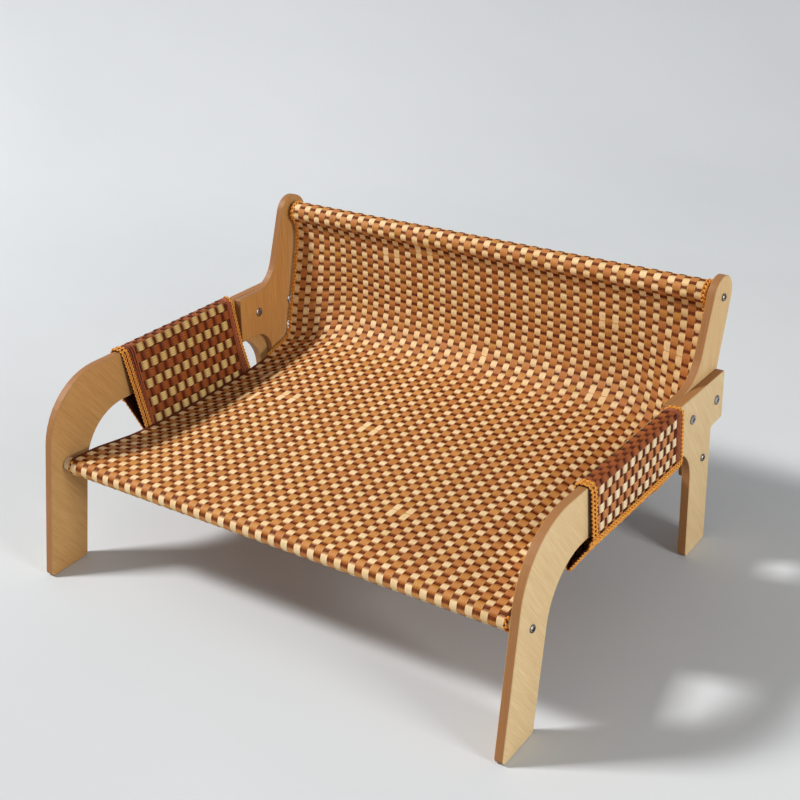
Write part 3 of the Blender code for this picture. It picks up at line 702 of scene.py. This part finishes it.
def buildMat():
    wefts = matWeftPlaces()
    count = mat["strips"]
    reach = mat["halfWidth"] - mat["stripWidth"] / 2
    # the plan's bare and pale carry painted shade: where strips dip, and over the back
    plan = dict(places=np.linspace(-reach, reach, count), wefts=wefts, shift=0,
                widths=[mat["stripWidth"] * mat["tanShare" if k % 2 else "creamShare"]
                        for k in range(count)],
                bare=(midMarks[1:4], mat["bare"]), pale=(midMarks[2:4], mat["pale"]),
                slots=[k % 2 for k in range(count)])
    # now and then two neighbouring cream strips float over a weft
    floats = []
    for _ in range(mat["floatPairs"]):
        k = 2 * int(rng.integers(1, count // 2 - 1))
        w = 2 * int(rng.integers(5, len(wefts) // 2 - 1)) + 1
        floats += [(k, w), (k + 2, w)]
    # and along the front of the front roll every cream strip does
    frontWeft = int(np.argmin(np.abs(wefts[1::2] - mat["rollFloat"] * midMarks[1]))) * 2 + 1
    floats += [(k, frontWeft) for k in range(0, count, 2)]
    soup = Soup()
    weaveStrips(soup, matFrame, plan, matStyle, floats)
    strips = soup.build("mat_strips", [creamStraw, tanStraw])
    soup = Soup()
    weaveWefts(soup, matFrame, plan, matStyle, floats=floats)
    overWeft = np.linspace(-1, 1, 5) * mat["floatReach"] * mat["stripWidth"]
    for k, w in floats:
        a = plan["places"][k] + overWeft
        here, along, across, up = matFrame(a, wefts[w])
        thread(soup, here + up * mat["floatRise"], up, mat["floatRadius"], slot=1, sides=4,
               tone=0.4)
    weftPiece = soup.build("mat_wefts", [weftStraw, oliveThread])
    # a cord along both sides: orange and brown on the front roll, orange up the back, and
    # all brown by the seat, which is painted shade
    soup = Soup()
    hem = mat["hem"]
    ends = (hem, midMarks[1] - hem, midMarks[2] + mat["cordShadePast"], midMarks[-1] - hem)
    parts = ((edgeCord, [0, 0, 1]), (edgeCord, [1, 1, 1]), (backCord, [0, 0]))
    for start, stop, (cord, colours) in zip(ends, ends[1:], parts):
        s = np.arange(start, stop, mat["cordStep"])
        for side in (-1, 1):
            here, along, across, up = matFrame(side * mat["halfWidth"], s)
            braid(soup, here + across * side * cord["out"], across, up, cord, colours)
    edges = soup.build("mat_edge_cords", [orangeCord, brownCord])
    for piece in (strips, weftPiece, edges):
        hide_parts("woven_mat")
        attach(piece, "root")
    print("mat: %d strips, %d wefts, %d floats" % (count, len(wefts), len(floats)))


buildMat()


# the two sleeves

sleeve = dict(
    # the loop's corners from the armrest's top, as x, z and radius
    corners=[(0.2692, 0.0014, 0.0048), (0.2563, -0.0985, 0.0013), (0.2842, -0.056, 0.004),
             (0.2830, 0.0016, 0.0048)],
    # first weft, distance to the next and number of wefts on each side
    wefts=dict(left=(0.16685, 0.00715, 21), right=(0.1582, 0.0073, 22)),
    # places round a loop of 217.4 mm, with each strip's colour: c cream, b brown
    drawnGirth=217.4, outerRows=(141, 201), rowFill=0.95,
    rows=[(3.2, "c"), (13.6, "b"), (24.0, "c"), (34.4, "b"), (44.8, "c"), (54.8, "b"),
          (64.8, "c"), (74.5, "b"), (84.3, "c"), (93.5, "b"), (103.2, "c"), (112.9, "b"),
          (122.6, "c"), (132.3, "b"), (141.5, "c"), (150.0, "b"), (158.1, "c"), (166.8, "b"),
          (175.4, "c"), (184.7, "b"), (194.0, "c"), (201.9, "b"), (207.4, "b"), (212.9, "b")],
    frontEdge=[(0, 0.1450), (90, 0.1508), (102, 0.1515), (142, 0.1490), (152, 0.1465),
               (200, 0.1446), (217.4, 0.1450)],
    rearEdge=[(0, 0.3236), (52, 0.3238), (92, 0.3288), (104, 0.3292), (200, 0.3288),
              (210, 0.3262), (217.4, 0.3236)],
    # cords along the front and rear edges, threads inside them and the hem's two cords
    frontCords=(0.0026, 0.0079), rearCord=0.0027, threadFrom=0.0104, threadTo=0.0052,
    threadPitch=0.0022, threadRadius=0.00088, cordLift=0.0010, threadLift=0.0006,
    hem=0.147, hemCords=(-0.0024, 0.0030), hemBand=(-0.0056, 0.0062), hemLift=0.0016,
    # how far the weave passes its first and last weft, and the bands pass under it
    weaveOver=(0.0020, 0.0026), bandUnder=0.003, bandInset=0.0010)
sleeveCord = dict(pitch=0.0088, perTurn=11, across=0.0014, rise=0.0006, radius=0.00086)
sleeveStyle = dict(perWeft=4, perStrip=4, lift=0.00055, dip=0.00045, drift=0.00010,
                   unevenness=0.012, stripThick=0.0006, crown=0.35, weftWidth=0.0024,
                   weftThick=0.0012, weftCrown=0.2, slack=0.00015, power=0.5)


def sleeveLoop():
    # the loop's middle line as (x, z) from the armrest's top, with rounded corners
    corners = sleeve["corners"]
    points, runs, total = [], [], 0.0
    for i, (x, z, radius) in enumerate(corners):
        here, before = np.array([x, z]), np.array(corners[i - 1][:2])
        after = np.array(corners[(i + 1) % len(corners)][:2])
        u, v = unit(before - here), unit(after - here)
        half = np.arccos(np.clip(u @ v, -1, 1)) / 2
        reach = radius / np.tan(half)
        centre = here + unit(u + v) * radius / np.sin(half)
        a, b = here + u * reach - centre, here + v * reach - centre
        start = np.arctan2(a[1], a[0])
        turn = (np.arctan2(b[1], b[0]) - start + pi) % (2 * pi) - pi
        angle = start + turn * np.linspace(0, 1, 9)
        points.append(centre + radius * np.stack([np.cos(angle), np.sin(angle)], axis=1))
        runs.append(total + reach * np.linspace(-1, 1, 9))
        total += np.linalg.norm(after - here)
    # places on the loop are counted along its unrounded outline, from its first corner
    loop, run = np.vstack(points), np.concatenate(runs)
    loop = np.vstack([loop[-1:], loop, loop[:1]])
    return loop, np.r_[run[-1] - total, run, run[0] + total], total


loopPath, loopRun, girth = sleeveLoop()


def sleeveFrame(side):
    # frames of one sleeve: q runs round the loop and y along the armrest
    def frameAt(q, y):
        q, y = np.broadcast_arrays(np.asarray(q, float), np.asarray(y, float))

        def place(q):
            at = (q + 0.006) % girth - 0.006
            return np.interp(at, loopRun, loopPath[:, 0]), np.interp(at, loopRun, loopPath[:, 1])
        x, z = place(q)
        (xa, za), (xb, zb) = place(q - 0.0012), place(q + 0.0012)
        here = np.stack([side * x, y - body["midY"], armTop(y) + z], axis=-1)
        across = unit(np.stack([side * (xb - xa), 0 * x, zb - za], axis=-1))
        along = unit(np.stack([0 * x, 1 + 0 * x, -tan(body["armSlope"]) + 0 * x], axis=-1))
        # the loop runs down the inner flap and up the outer one, so this points outwards
        up = unit(np.stack([side * (za - zb), 0 * x, xb - xa], axis=-1)) * -1.0
        return here, along, across, up
    return frameAt


def sleeveEdge(kind, q):
    table = np.array(sleeve[kind])
    return np.interp(q % girth, table[:, 0] / sleeve["drawnGirth"] * girth, table[:, 1])


def buildSleeve(side, tag):
    surface = sleeveFrame(side)
    scale = girth / (sleeve["drawnGirth"] * 1e-3)
    places = np.array([row[0] for row in sleeve["rows"]]) * 1e-3 * scale
    gaps = np.diff(np.r_[places[-1] - girth, places, places[0] + girth])
    first, pitch, number = sleeve["wefts"][tag]
    wefts = first + pitch * np.arange(number)
    weaveFrom, weaveTo = wefts[0] - sleeve["weaveOver"][0], wefts[-1] + sleeve["weaveOver"][1]
    low, high = sleeve["outerRows"]
    # rows on the outer flap take the paler straws, which are painted light; bare gives the
    # painted shade where strips dip
    plan = dict(places=places, widths=(gaps[:-1] + gaps[1:]) / 2 * sleeve["rowFill"],
                girth=girth, wefts=wefts, shift=1, bare=((0, 1), (0.55, 0.55)),
                pale=((0, 1), (0, 0)),
                slots=[(0 if colour == "c" else 1) + (2 if low < place < high else 0)
                       for place, colour in sleeve["rows"]])
    soup = Soup()
    weaveStrips(soup, surface, plan, sleeveStyle)
    strips = soup.build("sleeve_strips_" + tag,
                        [sleeveCream, sleeveBrown, outerFlapLitCream, outerFlapLitBrown])
    soup = Soup()
    weaveWefts(soup, surface, plan, sleeveStyle, closed=True)
    weftPiece = soup.build("sleeve_wefts_" + tag, [sleeveWeft])

    # borders: dark bands below plaited cords and a few red threads
    q = np.linspace(0, girth, 181)[:-1]
    front, rear = sleeveEdge("frontEdge", q), sleeveEdge("rearEdge", q)
    soup = Soup()
    inset, under = sleeve["bandInset"], sleeve["bandUnder"]
    for near, far in ((front + inset, weaveFrom + under), (weaveTo - under, rear - inset)):
        a, along, across, up = surface(q, near)
        band(soup, a, up, surface(q, far)[0], up, 0.0002, -0.0009, q, closed=True)
    for y in (*(front + d for d in sleeve["frontCords"]), rear - sleeve["rearCord"]):
        here, along, across, up = surface(q, y)
        braid(soup, here + up * sleeve["cordLift"], along, up, sleeveCord, [0, 0], closed=True)
    for a, b in ((front + sleeve["threadFrom"], weaveFrom + 0.0006),
                 (weaveTo - 0.0004, rear - sleeve["threadTo"])):
        number = max(1, round(float(np.mean(b - a)) / sleeve["threadPitch"]))
        for i in range(number):
            here, along, across, up = surface(q, a + (b - a) * (i + 0.5) / number)
            thread(soup, here + up * sleeve["threadLift"], up, sleeve["threadRadius"], slot=3,
                   closed=True, tone=0.2 + 0.25 * i)
    # the hem along the outer flap's lower fold has two cords as well, over a dark band
    hemAt = sleeve["hem"] * scale
    y = np.arange(weaveFrom - 0.014, weaveTo + 0.013, 0.004)
    (a, _, _, upA), (b, _, _, upB) = [surface(hemAt + d, y) for d in sleeve["hemBand"]]
    band(soup, a, upA, b, upB, 0.0010, 0.0004, y)
    y = np.arange(weaveFrom - 0.016, weaveTo + 0.014, 0.002)
    for d in sleeve["hemCords"]:
        here, along, across, up = surface(hemAt + d, y)
        braid(soup, here + up * sleeve["hemLift"], across, up, sleeveCord, [0, 0])
    trims = soup.build("sleeve_trims_" + tag, [orangeCord, brownCord, bandCloth, redThread])
    for piece in (strips, weftPiece, trims):
        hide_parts("sleeve_" + tag)
        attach(piece, "root")


for side, tag in ((-1, "left"), (1, "right")):
    buildSleeve(side, tag)
print("sleeves: girth %.1f mm" % (girth * 1e3))


# the cloth strap that holds the mat's crease to the crease bar

strap = dict(half=0.247, thickness=0.0010, gap=0.0004, reach=0.030, seam=0.014,
             climbMiddle=0.034, climbSide=0.0145, columnsTo=0.235, columns=41,
             stitchFrom=-0.241, stitchPitch=0.0041, stitches=118, stitchRadius=0.00035,
             stitchPoints=(0.0, 0.0013, 0.0026), seamRows=(1, -2, 3, -4))


def strapPath(edge):
    # under the seat, round the bar, and up behind the back, for one edge level
    whole, step, marks = matPath(edge)
    along = unit(np.gradient(whole, axis=0))
    below = whole + np.stack([along[:, 1], -along[:, 0]], axis=1) * (
        mat["thickness"] / 2 + strap["thickness"] / 2 + strap["gap"])
    by, bz = body["creaseBar"]
    seatPart = below[(step > marks[1]) & (step < marks[3])]
    under = np.array([[y, np.interp(y, seatPart[:, 0], seatPart[:, 1])]
                      for y in by - strap["reach"] - strap["seam"] * np.linspace(1, 0, 5)])
    climb = strap["climbMiddle"] + (strap["climbSide"] - strap["climbMiddle"]) * edge
    backPart = below[(step > marks[2]) & (step < marks[4])]
    height = bz + climb + strap["seam"] * np.linspace(0, 1, 6)
    behind = np.array([[np.interp(z, backPart[:, 1], backPart[:, 0]), z] for z in height])
    wrap = body["barRadius"] + body["clearance"] + strap["thickness"] / 2

    def touch(point, sign):
        away = point - np.array([by, bz])
        far = np.linalg.norm(away)
        return atan2(away[1], away[0]) + sign * np.arccos(wrap / far)
    a, b = touch(under[-1], 1), touch(behind[0], -1)
    b = a + (b - a) % (2 * pi)
    return np.vstack([under, arcPoints((by, bz), wrap, a, b, 22), behind])


def buildStrap():
    xs = np.r_[-strap["half"], np.linspace(-strap["columnsTo"], strap["columnsTo"],
                                           strap["columns"]), strap["half"]]
    outer, innerFace = [], []
    for x in xs:
        path = strapPath(droopAt(x))
        along = unit(np.gradient(path, axis=0))
        normal = np.stack([along[:, 1], -along[:, 0]], axis=1)
        for face, sign in ((outer, 1), (innerFace, -1)):
            line = path + normal * sign * strap["thickness"] / 2
            face.append(np.stack([np.full(len(path), x), line[:, 0] - body["midY"],
                                  line[:, 1]], axis=1))
    rings = np.stack(outer + innerFace[::-1], axis=1)
    soup = Soup()
    soup.sweep(rings, np.r_[xs, xs[::-1]], np.arange(len(rings)) * 0.004, 0.5)
    piece = soup.build("crease_strap", [strapCloth])

    # two rows of stitches along both long edges
    paths = {}
    stitches = Soup()
    for pair in (strap["seamRows"][:2], strap["seamRows"][2:]):
        for i in range(strap["stitches"]):
            x = strap["stitchFrom"] + i * strap["stitchPitch"]
            for row in pair:
                spots = []
                for dx in strap["stitchPoints"]:
                    share = round(float(droopAt(x + dx)), 3)
                    if share not in paths:
                        paths[share] = strapPath(share)
                    path = paths[share]
                    ahead = path[row] - path[row - 1]
                    away = unit(np.array([ahead[1], -ahead[0]]))
                    y, z = path[row] + away * (strap["thickness"] / 2 + 0.0001)
                    spots.append((x + dx, y - body["midY"], z))
                thread(stitches, np.array(spots), np.tile((0, 0.3, -0.95), (3, 1)),
                       strap["stitchRadius"], sides=4, tone=0.6)
    seams = stitches.build("crease_stitches", [redThread])
    length = float(np.linalg.norm(np.diff(strapPath(0.0), axis=0), axis=1).sum())
    for obj in (piece, seams):
        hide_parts("crease_pocket")
        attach(obj, "root")
    print("strap: %.0f mm long in the middle" % (length * 1e3))


buildStrap()


# the floor, light and camera

stage = dict(size=3.2, depth=1.9, rise=2.2, bend=0.9, below=0.0002, turn=radians(37.35),
             dark=srgb(198, 203, 208), light=srgb(214, 219, 224))
lights = dict(key=dict(place=(-3.8, -1.75, 4.4), size=0.95, power=350),
              side=dict(place=(2.3, -0.4, 0.85), size=0.7, power=28))
lightStyle = dict(target=(0, 0, 0.1), colour=(1.0, 0.97, 0.93), world=(1.0, 0.97, 0.94, 1),
                  worldStrength=0.24)
# the solved camera: focal length and centre in pixels of an 800 pixel wide picture
camera = dict(picture=800, focal=1369.19, centre=(385, 480), sensor=36, clip=(0.05, 20),
              azimuth=radians(37.3488), elevation=radians(31.0150), roll=radians(-4.1307),
              place=(0.73808, -0.96440, 0.80909))


def buildStage():
    # a floor that bends up into a back wall
    size, depth, bend = stage["size"], stage["depth"], stage["bend"]
    profile = [(-size, 0.0), (depth - bend, 0.0)]
    profile += [(depth - bend + bend * sin(a), bend - bend * cos(a))
                for a in np.linspace(0, pi / 2, 16)[1:]]
    profile.append((depth, stage["rise"]))
    turn = Matrix.Rotation(stage["turn"], 4, "Z")
    bm = bmesh.new()
    rows = [[bm.verts.new(turn @ Vector((x, y, z - stage["below"]))) for x in (-size, size)]
            for y, z in profile]
    for a, b in zip(rows, rows[1:]):
        bm.faces.new((a[0], a[1], b[1], b[0]))
    mesh = bpy.data.meshes.new("studio_sweep")
    bm.to_mesh(mesh)
    bm.free()
    mesh.shade_smooth()
    material, t, shader = newMaterial("pale studio floor")
    geometry = t.add("ShaderNodeNewGeometry")
    mottle = t.noise(t.mapped(geometry.outputs["Position"], scale=(1.4, 2.6, 1.4)), 1.0, 4.0)
    t.link(t.mix(mottle, stage["dark"], stage["light"]), shader.inputs["Base Color"])
    shader.inputs["Roughness"].default_value = 0.9
    mesh.materials.append(material)
    obj = bpy.data.objects.new("studio_sweep", mesh)
    bpy.context.scene.collection.objects.link(obj)


def areaLight(name, place, size, power):
    data = bpy.data.lights.new(name, "AREA")
    data.shape = "RECTANGLE"
    data.size = data.size_y = size
    data.energy = power
    data.color = lightStyle["colour"]
    obj = bpy.data.objects.new(name, data)
    obj.location = place
    aim = Vector(lightStyle["target"]) - Vector(place)
    obj.rotation_euler = aim.to_track_quat("-Z", "Y").to_euler()
    bpy.context.scene.collection.objects.link(obj)


def buildLight():
    world = bpy.data.worlds.new("studio")
    bpy.context.scene.world = world
    world.use_nodes = True
    back = world.node_tree.nodes["Background"]
    back.inputs["Color"].default_value = lightStyle["world"]
    back.inputs["Strength"].default_value = lightStyle["worldStrength"]
    for name, values in lights.items():
        areaLight(name, **values)


def buildCamera():
    data = bpy.data.cameras.new("photo view")
    picture, (centreX, centreY) = camera["picture"], camera["centre"]
    data.sensor_width = camera["sensor"]
    data.lens = camera["focal"] / picture * camera["sensor"]
    data.shift_x = (picture / 2 - centreX) / picture
    data.shift_y = (centreY - picture / 2) / picture
    data.clip_start, data.clip_end = camera["clip"]
    obj = bpy.data.objects.new("photo view", data)
    az, el, roll = camera["azimuth"], camera["elevation"], camera["roll"]
    forward = Vector((-sin(az) * cos(el), cos(az) * cos(el), -sin(el)))
    right = Vector((cos(az), sin(az), 0))
    up = right.cross(forward)
    rolledRight = right * cos(roll) + up * sin(roll)
    rolledUp = up * cos(roll) - right * sin(roll)
    turn = Matrix((rolledRight, rolledUp, -forward)).transposed().to_4x4()
    obj.matrix_world = Matrix.Translation(camera["place"]) @ turn
    bpy.context.scene.collection.objects.link(obj)
    bpy.context.scene.camera = obj


buildStage()
buildLight()
buildCamera()
bpy.context.scene.view_settings.view_transform = "Standard"
print("floor, light and camera placed")
